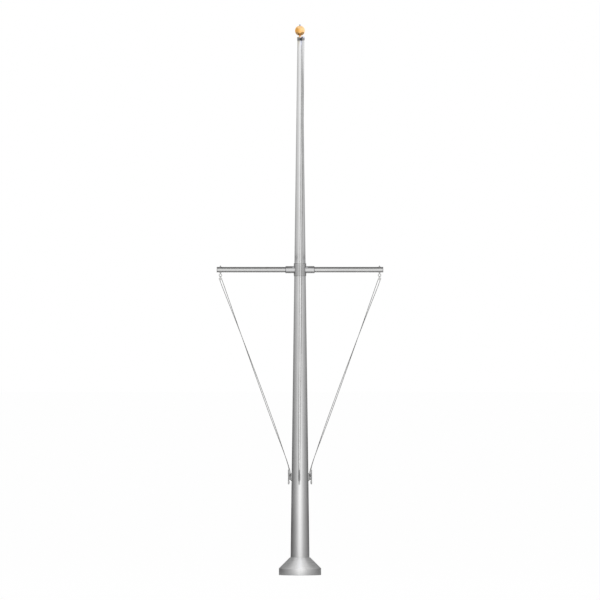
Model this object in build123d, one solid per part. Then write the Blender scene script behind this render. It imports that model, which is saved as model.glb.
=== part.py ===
from build123d import *
import math
import os

# Nautical flagpole: a tapered aluminium mast with one horizontal yard, a revolving truck and ball
# at the head, three cleats and a flash collar over a bolted base flange.
# Millimetres, +Z up. The origin is the centre of the base flange's underside, at ground level.
# The yard runs along X and the front is -Y.

# Mast
mast_height = 7620.0
mast_base_dia = 277.0
mast_head_dia = 75.0
mast_wall = 6.35
mast_seat = 12.0  # height of the ledge in the flange that the butt stands on

# Base flange and its anchor holes
flange_size = 400.0
flange_thick = 25.0
flange_corner = 30.0
shoe_height = 110.0
shoe_wall = 20.0
shoe_fillet = 10.0
anchor_spacing = 330.0
anchor_hole_dia = 35.0

# Flash collar, spun from sheet
flash_dia = 603.0
flash_skirt = 96.0
flash_shoulder_dia = 314.0
flash_lip = 12.0  # height of the rounded shoulder above the cone
flash_sheet = 3.0
flash_gap = 0.3

# Yard, its collar and sockets
yard_height = 4357.0
yard_span = 2376.0
yard_dia = 79.0
yard_wall = 3.2
yard_inset = 1.75  # from the collar's wall to the tube's inner end
collar_wall = 6.1  # at the lower end, where the mast is widest
collar_height = 184.5
collar_fillet = 6.0
collar_gap = 0.15
socket_dia = 102.0
socket_reach = 210.0
socket_chamfer = 9.0
socket_gap = 0.1
cap_thick = 10.0
cap_spigot = 22.0
cap_dome = 5.0

# Eye bolts through the yard ends
eye_inset = 53.0  # from the yard's end
eye_wire_dia = 10.0
eye_ring_dia = 37.0  # to the middle of the wire
eye_drop = 80.0  # from the yard's axis to the ring's centre
eye_shank_dia = 12.0
eye_hole_gap = 0.2
eye_end = 4.5  # shank showing above the top nut
nut_flats = 18.0
nut_thick = 10.0
nut_chamfer = 1.2
thread_gap = 0.05

# Halyards
rope_dia = 9.0
rope_gap = 0.3

# Blocks below the eye bolts
block_drop = 130.0  # from the yard's axis to the sheave's axis
block_pitch_dia = 30.0
block_width = 47.0
block_height = 43.0
block_cheek = 3.0
block_sheave_thick = 13.0
block_rim = 3.5
block_pin_dia = 8.0
block_head_dia = 13.0
block_head_thick = 2.0
block_crown_width = 18.0
block_crown_thick = 5.5
bail_wire_dia = 6.0
sheave_side_gap = 0.4
pin_gap = 0.05

# Revolving truck
truck_dia = 82.0
truck_thick = 53.0
truck_fillet = 6.0
truck_gap = 0.3
truck_angle = -28.0  # direction of the sheave, from +X
spindle_dia = 20.0
spindle_flange = 4.0
spindle_height = 31.0
spindle_plug = 60.0
spindle_plug_gap = 0.15
truck_sheave_reach = 51.0
truck_sheave_rise = 28.0  # above the truck's underside
truck_sheave_thick = 13.0
truck_pitch_dia = 42.0
truck_rim = 3.5
truck_cheek = 4.1
truck_cheek_width = 52.0
truck_cheek_foot = 4.0
truck_roof = 4.0
truck_roof_gap = 0.8
truck_pin_dia = 10.0
truck_pin_depth = 6.0
truck_head_dia = 16.0
truck_head_thick = 2.5

# Ball finial
ball_dia = 144.0
ball_sheet = 2.0
ball_neck_dia = 28.0
ball_neck = 18.0
stem_dia = 12.0
stem_depth = 14.0
stem_top = 9.0
ball_nut_flats = 24.0
ball_nut_hex = 12.0
ball_nut_dome = 9.0

# Cleats
cleat_height = 1398.0
cleat_length = 211.0
cleat_reach = 44.0  # from the mast's wall to the middle of the horns
cleat_bar_dia = 15.0
cleat_tip_dia = 11.0
cleat_tip_lift = 3.0
cleat_leg_dia = 15.0
cleat_leg_spacing = 60.0
cleat_foot_dia = 21.0
cleat_pad_length = 112.0
cleat_pad_width = 32.0
cleat_pad_thick = 8.0
front_cleat_angle = -95.0

# Points of each line round its cleat, for a cleat that faces +X. The first line goes once round
# both legs, close to the pad. The second lies outside it and goes once under the lower leg.
first_turn = [
    (134.5, -12.3, 1455.0),
    (134.0, -12.3, 1362.9),
    (134.5, -5.1, 1355.7),
    (135.4, 5.1, 1355.7),
    (136.0, 12.3, 1362.9),
    (140.6, 12.3, 1433.1),
    (141.6, 5.1, 1440.3),
    (143.2, -5.1, 1440.3),
    (144.3, -12.3, 1433.1),
    (144.8, -12.3, 1405.0),
]
second_turn = [
    (151.5, 12.3, 1500.0),
    (151.0, 12.3, 1362.9),
    (151.0, 5.1, 1355.7),
    (151.0, -5.1, 1355.7),
    (151.0, -12.3, 1362.9),
    (151.0, -12.3, 1378.0),
]
# Points of the two lines between the right-hand block and its cleat. They cross twice on the way.
side_first = [
    (872.6, 10.0, 3500.0),
    (453.5, 1.0, 2300.0),
    (204.7, -7.0, 1650.0),
]
side_second = [
    (872.6, -10.0, 3500.0),
    (424.5, -1.0, 2300.0),
    (206.7, 7.0, 1650.0),
]
# Points of the mast halyard's two lines, below the truck and past the yard's collar.
mast_first = [
    (-3.0, -95.5, 4480.0),
    (-9.0, -95.1, 4240.0),
]
mast_second = [
    (47.5, -43.8, 6200.0),
    (30.5, -91.0, 4480.0),
    (28.5, -91.6, 4240.0),
]
split_below = 2.0  # the halyard's part on the truck ends this far below the mast's head
mast_drop = 80.0  # how far the lines run straight down from there
side_drop = 150.0  # how far the side lines leave their sheave in its own plane
side_slope = 0.361  # sideways run of the side halyards for each unit of drop

mast_taper = (mast_base_dia - mast_head_dia) / 2 / mast_height
rope_radius = rope_dia / 2
truck_base = mast_height + spindle_flange + truck_gap
truck_top = truck_base + truck_thick
truck_sheave_height = truck_base + truck_sheave_rise
ball_centre = truck_top + ball_neck + ball_dia / 2
block_height_z = yard_height - block_drop


def mast_radius(height):
    return mast_base_dia / 2 - mast_taper * height


collar_bottom = yard_height - collar_height / 2
collar_top = yard_height + collar_height / 2
collar_radius = mast_radius(collar_bottom) + collar_gap + collar_wall
eye_reach = yard_span / 2 - eye_inset
mast_split = mast_height - split_below


def mast_cone(bottom, top, offset):
    """Solid of the mast's taper between two heights, larger in radius by offset."""
    cone = Cone(
        mast_radius(bottom) + offset,
        mast_radius(top) + offset,
        top - bottom,
        align=(Align.CENTER, Align.CENTER, Align.MIN),
    )
    return Pos(0, 0, bottom) * cone


def post(radius, bottom, top):
    """Upright round bar on the Z axis."""
    height = top - bottom
    bar = Cylinder(radius, height, align=(Align.CENTER, Align.CENTER, Align.MIN))
    return Pos(0, 0, bottom) * bar


def bar_along(direction, radius, start, end):
    """Round bar along a unit direction through the origin, from start to end."""
    plane = Plane(origin=direction * start, z_dir=direction)
    return extrude(plane * Circle(radius), end - start)


def hex_nut(flats, thick, bore_radius, chamfer_size):
    """Hexagonal nut on the Z axis, from z = 0 up."""
    nut = extrude(RegularPolygon(flats / 2, 6, major_radius=False), thick)
    corner = flats / math.sqrt(3)
    blank = Cylinder(corner, thick, align=(Align.CENTER, Align.CENTER, Align.MIN))
    rounded = chamfer(blank.edges().filter_by(GeomType.CIRCLE), chamfer_size)
    bore = Cylinder(bore_radius, 3 * thick)
    return (nut & rounded) - bore


def grooved_wheel(pitch_dia, rim, thick, bore_radius):
    """Sheave about the Z axis, centred on the origin, with a round groove for the rope."""
    outer = pitch_dia / 2 + rim
    wheel = Cylinder(outer, thick)
    groove = Torus(pitch_dia / 2, rope_radius + rope_gap)
    mouth = 2 * (rope_radius + rope_gap)
    throat = Cylinder(outer + rim, mouth) - Cylinder(pitch_dia / 2, mouth)
    return wheel - groove - throat - Cylinder(bore_radius, thick + 1)


def corner_radii(points):
    """The largest arc that each corner's two runs allow."""
    radii = []
    for before, here, after in zip(points, points[1:], points[2:]):
        arriving = Vector(*here) - Vector(*before)
        leaving = Vector(*after) - Vector(*here)
        turn = math.radians(arriving.get_angle(leaving))
        shorter = min(arriving.length, leaving.length)
        radii.append(0.45 * shorter / math.tan(turn / 2))
    return radii


def half_turn(centre, start, crown, radius):
    """Four points of a route that goes half round a wheel, from start over crown."""
    reach = radius / math.cos(math.radians(22.5))
    points = []
    for step in range(4):
        angle = math.radians(22.5 + 45 * step)
        points.append(centre + (start * math.cos(angle) + crown * math.sin(angle)) * reach)
    return points


def rope(points):
    """Round rope along straight runs with a tangent arc at each corner."""
    corners = [tuple(point) for point in points]
    radii = corner_radii(corners)
    path = FilletPolyline(*corners, radius=radii)
    tube = sweep(Plane(origin=path @ 0, z_dir=path % 0) * Circle(rope_radius), path)
    share = tube.volume / (math.pi * rope_radius**2 * path.length)
    print("rope", round(path.length), "mm, volume over section times length", round(share, 4))
    print("arcs", [round(radius) for radius in radii])
    return tube


def base_flange():
    plate = extrude(RectangleRounded(flange_size, flange_size, flange_corner), flange_thick)
    shoe = post(mast_radius(0) + shoe_wall, 0, shoe_height)
    shoe = fillet(shoe.edges().group_by(Axis.Z)[-1], shoe_fillet)
    holes = [
        Pos(x * anchor_spacing / 2, y * anchor_spacing / 2, 0)
        * Cylinder(anchor_hole_dia / 2, 3 * flange_thick)
        for x in (-1, 1)
        for y in (-1, 1)
    ]
    socket = mast_cone(mast_seat, shoe_height + 1, collar_gap)
    return plate + shoe - socket - holes


def mast():
    outside = mast_cone(mast_seat, mast_height, 0)
    return outside - mast_cone(mast_seat - 1, mast_height + 1, -mast_wall)


def flash_collar():
    cone_top = flash_skirt + (flash_dia - flash_shoulder_dia) / 2
    top = cone_top + flash_lip
    mouth = mast_radius(top) + flash_gap
    shoulder = flash_shoulder_dia / 2
    rim = flash_dia / 2
    slant = flash_sheet * math.tan(math.radians(22.5))
    outside = [
        (rim, 0),
        (rim, flash_skirt),
        (shoulder, cone_top),
        (shoulder - flash_lip, top),
        (mouth, top),
    ]
    inside = [
        (mouth, top - flash_sheet),
        (shoulder - flash_lip - slant, top - flash_sheet),
        (shoulder - slant, cone_top - flash_sheet),
        (rim - flash_sheet, flash_skirt - slant),
        (rim - flash_sheet, 0),
    ]
    profile = make_face(Polyline(*outside, *inside, close=True))
    return revolve(Plane.XZ * profile, Axis.Z)


def cleat(angle):
    """Horn cleat with an open base, on the mast's wall at an angle about Z."""
    wall = mast_radius(cleat_height)
    middle = wall + cleat_reach
    half = cleat_length / 2
    tip = cleat_tip_dia / 2
    bar = cleat_bar_dia / 2
    sections = []
    for share in (-1, -0.5, 0, 0.5, 1):
        radius = bar + (tip - bar) * share**2
        place = (middle + cleat_tip_lift * share**2, 0, share * (half - tip))
        sections.append(Plane(origin=place, z_dir=(0, 0, 1)) * Circle(radius))
    horns = loft(sections)
    for side in (-1, 1):
        horns += Pos(middle + cleat_tip_lift, 0, side * (half - tip)) * Sphere(tip)
    pad_plane = Plane(origin=(wall - cleat_pad_thick, 0, 0), x_dir=(0, 0, 1), z_dir=(1, 0, 0))
    pad = extrude(pad_plane * SlotOverall(cleat_pad_length, cleat_pad_width), 2 * cleat_pad_thick)
    pad = chamfer(pad.faces().sort_by(Axis.X)[-1].edges(), cleat_pad_thick / 4)
    body = horns + pad
    for side in (-1, 1):
        height = side * cleat_leg_spacing / 2
        foot = Plane(origin=(wall + cleat_pad_thick - 1, 0, height), z_dir=(1, 0, 0))
        neck = Plane(origin=(wall + cleat_pad_thick + 3, 0, height), z_dir=(1, 0, 0))
        body += loft([foot * Circle(cleat_foot_dia / 2), neck * Circle(cleat_leg_dia / 2)])
        body += extrude(neck * Circle(cleat_leg_dia / 2), middle - neck.origin.X)
    body = Pos(0, 0, cleat_height) * body
    body -= mast_cone(cleat_height - half, cleat_height + half, 0)
    return Rot(0, 0, angle) * body


def yard_collar():
    sleeve = post(collar_radius, collar_bottom, collar_top)
    sleeve = fillet(sleeve.edges().filter_by(GeomType.CIRCLE), collar_fillet)
    return sleeve - mast_cone(collar_bottom - 1, collar_top + 1, collar_gap)


def yard_socket(side):
    out = Vector(side, 0, 0)
    tube = bar_along(out, socket_dia / 2, 0, socket_reach)
    mouth = tube.edges().filter_by(GeomType.CIRCLE).sort_by(Axis.X)[0 if side < 0 else -1]
    tube = chamfer(mouth, socket_chamfer)
    tube -= bar_along(out, yard_dia / 2 + socket_gap, 0, socket_reach + 1)
    tube -= Cylinder(collar_radius, 2 * socket_dia)
    return Pos(0, 0, yard_height) * tube


def yard_spar(side):
    out = Vector(side, 0, 0)
    inner = collar_radius + yard_inset
    outer = yard_span / 2 - cap_thick
    tube = bar_along(out, yard_dia / 2, inner, outer)
    tube -= bar_along(out, yard_dia / 2 - yard_wall, inner - 1, outer + 1)
    tube -= Pos(side * eye_reach, 0, 0) * Cylinder(eye_shank_dia / 2 + eye_hole_gap, 2 * yard_dia)
    return Pos(0, 0, yard_height) * tube


def yard_cap(side):
    out = Vector(side, 0, 0)
    face = yard_span / 2 - cap_thick
    disc = bar_along(out, yard_dia / 2, face, face + cap_thick)
    rim = disc.edges().filter_by(GeomType.CIRCLE).sort_by(Axis.X)[0 if side < 0 else -1]
    disc = fillet(rim, cap_dome)
    spigot = bar_along(out, yard_dia / 2 - yard_wall - socket_gap, face - cap_spigot, face + 1)
    hollow = bar_along(out, yard_dia / 2 - 2 * yard_wall, face - cap_spigot - 1, face)
    return Pos(0, 0, yard_height) * (disc + (spigot - hollow))


def eye_bolt(side):
    ring = Rot(90, 0, 0) * Torus(eye_ring_dia / 2, eye_wire_dia / 2)
    foot = eye_ring_dia / 2
    head = eye_drop + yard_dia / 2 + nut_thick + eye_end
    shank = post(eye_shank_dia / 2, foot, head)
    shank = chamfer(shank.edges().group_by(Axis.Z)[-1], 1)
    return Pos(side * eye_reach, 0, yard_height - eye_drop) * (ring + shank)


def eye_nut(side, level):
    nut = hex_nut(nut_flats, nut_thick, eye_shank_dia / 2 + thread_gap, nut_chamfer)
    seat = yard_dia / 2 if level == "top" else -yard_dia / 2 - nut_thick
    return Pos(side * eye_reach, 0, yard_height + seat) * nut


def block_shell(side):
    """Two cheeks under a crown, with a bail through the eye bolt's ring."""
    inside = block_sheave_thick / 2 + sheave_side_gap
    outside = inside + block_cheek
    rope_top = block_pitch_dia / 2 + rope_radius
    crown_foot = rope_top + 2 * rope_gap
    crown_top = crown_foot + block_crown_thick
    upright = Plane(origin=(0, outside, 0), x_dir=(1, 0, 0), z_dir=(0, -1, 0))
    outline = Ellipse(block_width / 2, block_height / 2)
    tab = Pos(0, crown_top / 2) * Rectangle(block_crown_width, crown_top)
    slab = extrude(upright * (outline + tab), 2 * outside)
    gap = Pos(0, 0, crown_foot - block_width) * Box(
        2 * block_width, 2 * inside, 2 * block_width
    )
    shell = slab - gap - Rot(90, 0, 0) * Cylinder(block_pin_dia / 2 + pin_gap, 4 * outside)
    arch_height = block_drop - eye_drop - eye_ring_dia / 2
    arch = (eye_wire_dia + bail_wire_dia) / 2 + rope_gap
    foot = crown_top - block_crown_thick / 2
    legs = [
        Polyline((0, -arch, foot), (0, -arch, arch_height)),
        ThreePointArc((0, -arch, arch_height), (0, 0, arch_height + arch), (0, arch, arch_height)),
        Polyline((0, arch, arch_height), (0, arch, foot)),
    ]
    path = Wire([edge for leg in legs for edge in leg.edges()])
    bail = sweep(Plane(origin=path @ 0, z_dir=path % 0) * Circle(bail_wire_dia / 2), path)
    return Pos(side * eye_reach, 0, block_height_z) * (shell + bail)


def block_sheave(side):
    wheel = grooved_wheel(
        block_pitch_dia, block_rim, block_sheave_thick, block_pin_dia / 2 + pin_gap
    )
    return Pos(side * eye_reach, 0, block_height_z) * Rot(90, 0, 0) * wheel


def block_pin(side):
    outside = block_sheave_thick / 2 + sheave_side_gap + block_cheek
    pin = Cylinder(block_pin_dia / 2, 2 * outside)
    for end in (-1, 1):
        head = Cylinder(block_head_dia / 2, block_head_thick)
        pin += Pos(0, 0, end * (outside + block_head_thick / 2)) * head
    return Pos(side * eye_reach, 0, block_height_z) * Rot(90, 0, 0) * pin


def truck_spindle():
    plug_radius = mast_head_dia / 2 - mast_wall - spindle_plug_gap
    flange = mast_height + spindle_flange
    plug = post(plug_radius, mast_height - spindle_plug, mast_height)
    rest = post(mast_head_dia / 2, mast_height, flange)
    spindle = post(spindle_dia / 2, flange, flange + spindle_height)
    spindle = chamfer(spindle.edges().group_by(Axis.Z)[-1], 1.5)
    return plug + rest + spindle


def truck_out():
    angle = math.radians(truck_angle)
    return Vector(math.cos(angle), math.sin(angle), 0)


def truck_body():
    """Cap that turns on the spindle, with a roofed fork for the sheave at one side."""
    cap = post(truck_dia / 2, truck_base, truck_top)
    cap = fillet(cap.edges().group_by(Axis.Z)[-1], truck_fillet)
    inner = truck_sheave_reach - truck_sheave_thick / 2 - sheave_side_gap
    outer = truck_sheave_reach + truck_sheave_thick / 2 + sheave_side_gap
    rope_top = truck_sheave_rise + truck_pitch_dia / 2 + rope_radius
    roof_foot = rope_top + truck_roof_gap
    roof_top = roof_foot + truck_roof
    foot = truck_cheek_foot
    length = outer + truck_cheek - (inner - truck_cheek)
    fork = Box(
        length,
        truck_cheek_width,
        roof_top - foot,
        align=(Align.MIN, Align.CENTER, Align.MIN),
    )
    fork = Pos(inner - truck_cheek, 0, foot) * fork
    fork = fillet(fork.edges().filter_by(Axis.X), truck_cheek_width / 5)
    slot = Box(
        outer - inner,
        2 * truck_cheek_width,
        roof_foot,
        align=(Align.MIN, Align.CENTER, Align.MIN),
    )
    fork -= Pos(inner, 0, 0) * slot
    depth = inner - truck_cheek - truck_pin_depth
    pin_hole = Plane(origin=(depth, 0, truck_sheave_rise), z_dir=(1, 0, 0))
    hole = extrude(pin_hole * Circle(truck_pin_dia / 2 + pin_gap), 2 * truck_sheave_reach)
    fork = Pos(0, 0, truck_base) * fork
    body = cap + Rot(0, 0, truck_angle) * fork
    body -= Pos(0, 0, truck_base) * Rot(0, 0, truck_angle) * hole
    slot_clear = Pos(inner, 0, 0) * slot
    body -= Pos(0, 0, truck_base) * Rot(0, 0, truck_angle) * slot_clear
    bore_top = mast_height + spindle_flange + spindle_height + truck_gap
    body -= post(spindle_dia / 2 + pin_gap, truck_base - 1, bore_top)
    return body - post(stem_dia / 2 + thread_gap, truck_top - stem_depth, truck_top + 1)


def on_truck_axis(piece):
    """Carries a piece from the Z axis at the origin to the truck sheave's axis."""
    centre = truck_out() * truck_sheave_reach + Vector(0, 0, truck_sheave_height)
    return Plane(origin=centre, z_dir=truck_out()) * piece


def truck_sheave():
    return on_truck_axis(
        grooved_wheel(
            truck_pitch_dia, truck_rim, truck_sheave_thick, truck_pin_dia / 2 + pin_gap
        )
    )


def truck_pin():
    half = truck_sheave_thick / 2 + sheave_side_gap + truck_cheek
    pin = Cylinder(
        truck_pin_dia / 2,
        2 * half + truck_pin_depth,
        align=(Align.CENTER, Align.CENTER, Align.MIN),
    )
    head = Cylinder(
        truck_head_dia / 2,
        truck_head_thick,
        align=(Align.CENTER, Align.CENTER, Align.MIN),
    )
    return on_truck_axis(Pos(0, 0, -half - truck_pin_depth) * pin + Pos(0, 0, half) * head)


def ball():
    shell = Pos(0, 0, ball_centre) * Sphere(ball_dia / 2)
    neck = post(ball_neck_dia / 2, truck_top, ball_centre - ball_dia / 2 + 2 * ball_sheet)
    inside = Pos(0, 0, ball_centre) * Sphere(ball_dia / 2 - ball_sheet)
    rod = post(stem_dia / 2 + thread_gap, truck_top - 1, ball_centre + ball_dia)
    return shell + neck - inside - rod


def nut_seat():
    """Height at which a flat nut meets the ball round its hole."""
    hole = stem_dia / 2 + thread_gap
    return ball_centre + math.sqrt((ball_dia / 2) ** 2 - hole**2)


def ball_stem():
    return post(stem_dia / 2, truck_top - stem_depth, nut_seat() + stem_top)


def ball_nut():
    hexagon = extrude(RegularPolygon(ball_nut_flats / 2, 6, major_radius=False), ball_nut_hex)
    base = ball_nut_flats / 2
    dome_radius = (base**2 + ball_nut_dome**2) / (2 * ball_nut_dome)
    top = ball_nut_hex + ball_nut_dome
    dome = Pos(0, 0, top - dome_radius) * Sphere(dome_radius)
    dome &= post(base, ball_nut_hex - 1, top + 1)
    bore = post(stem_dia / 2 + thread_gap, -1, stem_top + truck_gap)
    return Pos(0, 0, nut_seat()) * (hexagon + dome - bore)


def turned(points, angle):
    """Points turned about Z."""
    c = math.cos(math.radians(angle))
    s = math.sin(math.radians(angle))
    return [(c * x - s * y, s * x + c * y, z) for x, y, z in points]


def side_halyard(side):
    """One rope from the cleat over the block's sheave and back to the cleat."""
    length = math.hypot(side_slope, 1)
    down = Vector(-side_slope / length, 0, -1 / length)
    inward = Vector(-1 / length, 0, side_slope / length)
    centre = Vector(eye_reach, 0, block_height_z)
    pitch = block_pitch_dia / 2
    first = [centre + inward * pitch + down * side_drop, *side_first, *first_turn]
    second = [centre - inward * pitch + down * side_drop, *side_second, *second_turn]
    line = rope([*reversed(first), *half_turn(centre, inward, -down, pitch), *second])
    return line if side > 0 else mirror(line, Plane.YZ)


def truck_across():
    """Unit direction from the truck's sheave to the first line that leaves it."""
    angle = math.radians(truck_angle)
    return Vector(math.sin(angle), -math.cos(angle), 0)


def mast_halyard_line(way, middle, turn):
    """One line of the mast halyard, from below the truck to the front cleat."""
    start = truck_out() * truck_sheave_reach + truck_across() * (way * truck_pitch_dia / 2)
    top = start + Vector(0, 0, mast_split)
    bend = top - Vector(0, 0, mast_drop)
    return rope([top, bend, *middle, *turned(turn, front_cleat_angle)])


def mast_halyard_top():
    pitch = truck_pitch_dia / 2
    centre = truck_out() * truck_sheave_reach + Vector(0, 0, truck_sheave_height)
    foot = centre + Vector(0, 0, mast_split + rope_gap - truck_sheave_height)
    across = truck_across()
    over = half_turn(centre, across, Vector(0, 0, 1), pitch)
    return rope([foot + across * pitch, *over, foot - across * pitch])


def save(name, solid):
    export_step(solid, f"parts/{name}.step")


os.makedirs("parts", exist_ok=True)
save("base_flange", base_flange())
save("mast", mast())
save("flash_collar", flash_collar())
save("yard_collar", yard_collar())
for name, angle in (("right", 0), ("left", 180), ("front", front_cleat_angle)):
    save(f"cleat_{name}", cleat(angle))
for name, side in (("left", -1), ("right", 1)):
    save(f"yard_socket_{name}", yard_socket(side))
    save(f"yard_spar_{name}", yard_spar(side))
    save(f"yard_cap_{name}", yard_cap(side))
    save(f"eye_bolt_{name}", eye_bolt(side))
    save(f"eye_nut_top_{name}", eye_nut(side, "top"))
    save(f"eye_nut_bottom_{name}", eye_nut(side, "bottom"))
    save(f"block_shell_{name}", block_shell(side))
    save(f"block_sheave_{name}", block_sheave(side))
    save(f"block_pin_{name}", block_pin(side))
    save(f"halyard_{name}", side_halyard(side))
save("truck_spindle", truck_spindle())
save("truck_body", truck_body())
save("truck_sheave", truck_sheave())
save("truck_pin", truck_pin())
save("ball", ball())
save("ball_stem", ball_stem())
save("ball_nut", ball_nut())
save("mast_halyard_left_line", mast_halyard_line(1, mast_first, first_turn))
save("mast_halyard_right_line", mast_halyard_line(-1, mast_second, second_turn))
save("mast_halyard_top", mast_halyard_top())
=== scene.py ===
import math

import bpy
from mathutils import Matrix, Vector


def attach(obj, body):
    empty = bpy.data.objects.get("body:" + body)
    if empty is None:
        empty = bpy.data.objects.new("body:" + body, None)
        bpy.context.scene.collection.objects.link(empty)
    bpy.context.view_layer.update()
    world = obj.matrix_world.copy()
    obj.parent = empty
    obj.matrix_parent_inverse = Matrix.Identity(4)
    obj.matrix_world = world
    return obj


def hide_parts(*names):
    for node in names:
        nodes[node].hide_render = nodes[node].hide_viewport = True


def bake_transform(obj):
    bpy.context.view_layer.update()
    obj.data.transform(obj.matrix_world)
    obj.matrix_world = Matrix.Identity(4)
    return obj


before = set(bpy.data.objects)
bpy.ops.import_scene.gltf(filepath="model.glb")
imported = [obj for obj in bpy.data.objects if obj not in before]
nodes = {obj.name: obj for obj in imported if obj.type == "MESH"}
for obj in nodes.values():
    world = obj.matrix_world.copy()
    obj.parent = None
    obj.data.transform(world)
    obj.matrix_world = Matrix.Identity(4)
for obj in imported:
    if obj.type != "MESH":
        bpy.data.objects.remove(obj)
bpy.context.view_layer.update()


# General helpers


def clearSelection():
    if bpy.context.mode != "OBJECT":
        bpy.ops.object.mode_set(mode="OBJECT")
    bpy.ops.object.select_all(action="DESELECT")


def pick(piece):
    clearSelection()
    piece.select_set(True)
    bpy.context.view_layer.objects.active = piece
    return piece


def nameActive(name):
    piece = bpy.context.active_object
    piece.name = name
    piece.data.name = name
    return piece


def settle(piece):  # the place goes into the mesh, and the object stays at the origin
    pick(piece)
    bpy.ops.object.transform_apply(location=True, rotation=True, scale=True)
    return piece


def place(piece, where, turn=(0, 0, 0)):
    piece.location = where
    piece.rotation_euler = [math.radians(angle) for angle in turn]
    return settle(piece)


def applyModifier(piece, kind, **settings):
    pick(piece)
    modifier = piece.modifiers.new(kind.title(), kind)
    for key, value in settings.items():
        setattr(modifier, key, value)
    bpy.ops.object.modifier_apply(modifier=modifier.name)
    return piece


def openMesh(piece):  # ready to edit, with all of it selected
    pick(piece)
    bpy.ops.object.mode_set(mode="EDIT")
    bpy.ops.mesh.select_all(action="SELECT")


def closeMesh(piece):
    bpy.ops.object.mode_set(mode="OBJECT")
    return piece


def openChosen(piece, kind, wanted):  # ready to edit, with only the wanted points or edges
    pick(piece)
    bpy.ops.object.mode_set(mode="EDIT")
    bpy.ops.mesh.select_mode(type=kind)
    bpy.ops.mesh.select_all(action="DESELECT")
    closeMesh(piece)
    for item in piece.data.vertices if kind == "VERT" else piece.data.edges:
        item.select = wanted(item)
    bpy.ops.object.mode_set(mode="EDIT")


def fillEnds(piece):
    openMesh(piece)
    bpy.ops.mesh.fill_holes(sides=0)
    return closeMesh(piece)


def faceOutward(piece):
    openMesh(piece)
    bpy.ops.mesh.normals_make_consistent(inside=False)
    return closeMesh(piece)


def cleanUp(piece, angle=35):  # welded, facing out, and smooth up to an angle
    openMesh(piece)
    bpy.ops.mesh.remove_doubles(threshold=2e-6)
    bpy.ops.mesh.normals_make_consistent(inside=False)
    closeMesh(piece)
    bpy.ops.object.shade_smooth_by_angle(angle=math.radians(angle))
    return piece


def bevelEdges(piece, width, segments=3, angle=30):
    return applyModifier(
        piece, "BEVEL", width=width, segments=segments, limit_method="ANGLE",
        angle_limit=math.radians(angle), harden_normals=False,
    )


def joinPieces(pieces, name):
    clearSelection()
    for piece in pieces:
        piece.select_set(True)
    bpy.context.view_layer.objects.active = pieces[0]
    bpy.ops.object.join()
    return nameActive(name)


def fuse(piece, others, operation="UNION"):
    for other in others:
        applyModifier(piece, "BOOLEAN", operation=operation, object=other, solver="EXACT")
        bpy.data.objects.remove(other)
    return piece


def copyOf(piece, name):
    twin = piece.copy()
    twin.data = piece.data.copy()
    twin.name = name
    twin.data.name = name
    bpy.context.scene.collection.objects.link(twin)
    return twin


def mirrored(piece, name):  # the same piece on the other side of the mast
    twin = copyOf(piece, name)
    twin.scale = (-1, 1, 1)
    return faceOutward(settle(twin))


def makeRod(name, around, radius, depth, where=(0, 0, 0), turn=(0, 0, 0)):
    clearSelection()
    bpy.ops.mesh.primitive_cylinder_add(
        vertices=around, radius=radius, depth=depth, location=where,
        rotation=[math.radians(angle) for angle in turn],
    )
    return settle(nameActive(name))


def makeBox(name, size, middle):
    clearSelection()
    bpy.ops.mesh.primitive_cube_add(size=1, location=middle)
    box = nameActive(name)
    box.scale = size
    return settle(box)


def boxBetween(name, low, high):
    middle = [(a + b) / 2 for a, b in zip(low, high)]
    return makeBox(name, [b - a for a, b in zip(low, high)], middle)


def turned(name, rings, around=96, angle=35, ringShaped=False):
    # A closed shape turned about Z, from rings of (radius, height)
    # A ring-shaped one comes back to its first ring, and any other is filled at both ends
    clearSelection()
    radius, height = rings[0]
    bpy.ops.mesh.primitive_circle_add(vertices=around, radius=radius)
    piece = nameActive(name)
    piece.location = (0, 0, height)
    openMesh(settle(piece))
    for nextRadius, nextHeight in rings[1:]:
        lift = (0, 0, nextHeight - height)
        bpy.ops.mesh.extrude_region_move(TRANSFORM_OT_translate={"value": lift})
        grow = nextRadius / radius
        bpy.ops.transform.resize(value=(grow, grow, 1), center_override=(0, 0, nextHeight))
        radius, height = nextRadius, nextHeight
    closeMesh(piece)
    if not ringShaped:
        fillEnds(piece)
    return cleanUp(piece, angle)


def roundedRings(corners, steps=5):
    # Rings along a profile of (radius, height, rounding) corners, each corner rounded by an arc
    rings = []
    last = len(corners) - 1
    for index, (radius, height, rounding) in enumerate(corners):
        here = Vector((radius, height))
        if rounding == 0 or index in (0, last):
            rings.append((radius, height))
            continue
        before = (Vector(corners[index - 1][:2]) - here).normalized()
        after = (Vector(corners[index + 1][:2]) - here).normalized()
        half = before.angle(after) / 2
        start = before * (rounding / math.tan(half))
        end = after * (rounding / math.tan(half))
        middle = (before + after).normalized() * (rounding / math.sin(half))
        for step in range(steps + 1):
            outward = (start - middle).slerp(end - middle, step / steps)  # a unit vector
            rings.append(tuple(here + middle + outward * rounding))
    return rings


def spoke(angle):  # level direction at an angle from the yard's right half
    return Vector((math.cos(math.radians(angle)), math.sin(math.radians(angle)), 0))


def arcRings(centre, radius, start, end, steps):  # rings along one arc, angles in radians
    rings = []
    for step in range(steps + 1):
        angle = start + (end - start) * step / steps
        rings.append((centre[0] + radius * math.cos(angle), centre[1] + radius * math.sin(angle)))
    return rings


def finish(piece, material, body, slot, *replaced):
    piece.data.materials.clear()
    piece.data.materials.append(material)
    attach(piece, body)
    if replaced:
        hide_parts(*replaced)
    return piece


def finishPair(piece, material, slot, node=None, body=None):  # the right piece and its left twin
    twin = mirrored(piece, piece.name.replace("Right", "Left"))
    for part, side in ((piece, "right"), (twin, "left")):
        replaced = [node + side] if node else []
        finish(part, material, body + side if body else "root", slot, *replaced)


# Shader groups that several materials use

groups = {}


def link(tree, source, output, target, name):
    tree.links.new(source.outputs[output], target.inputs[name])


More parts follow.
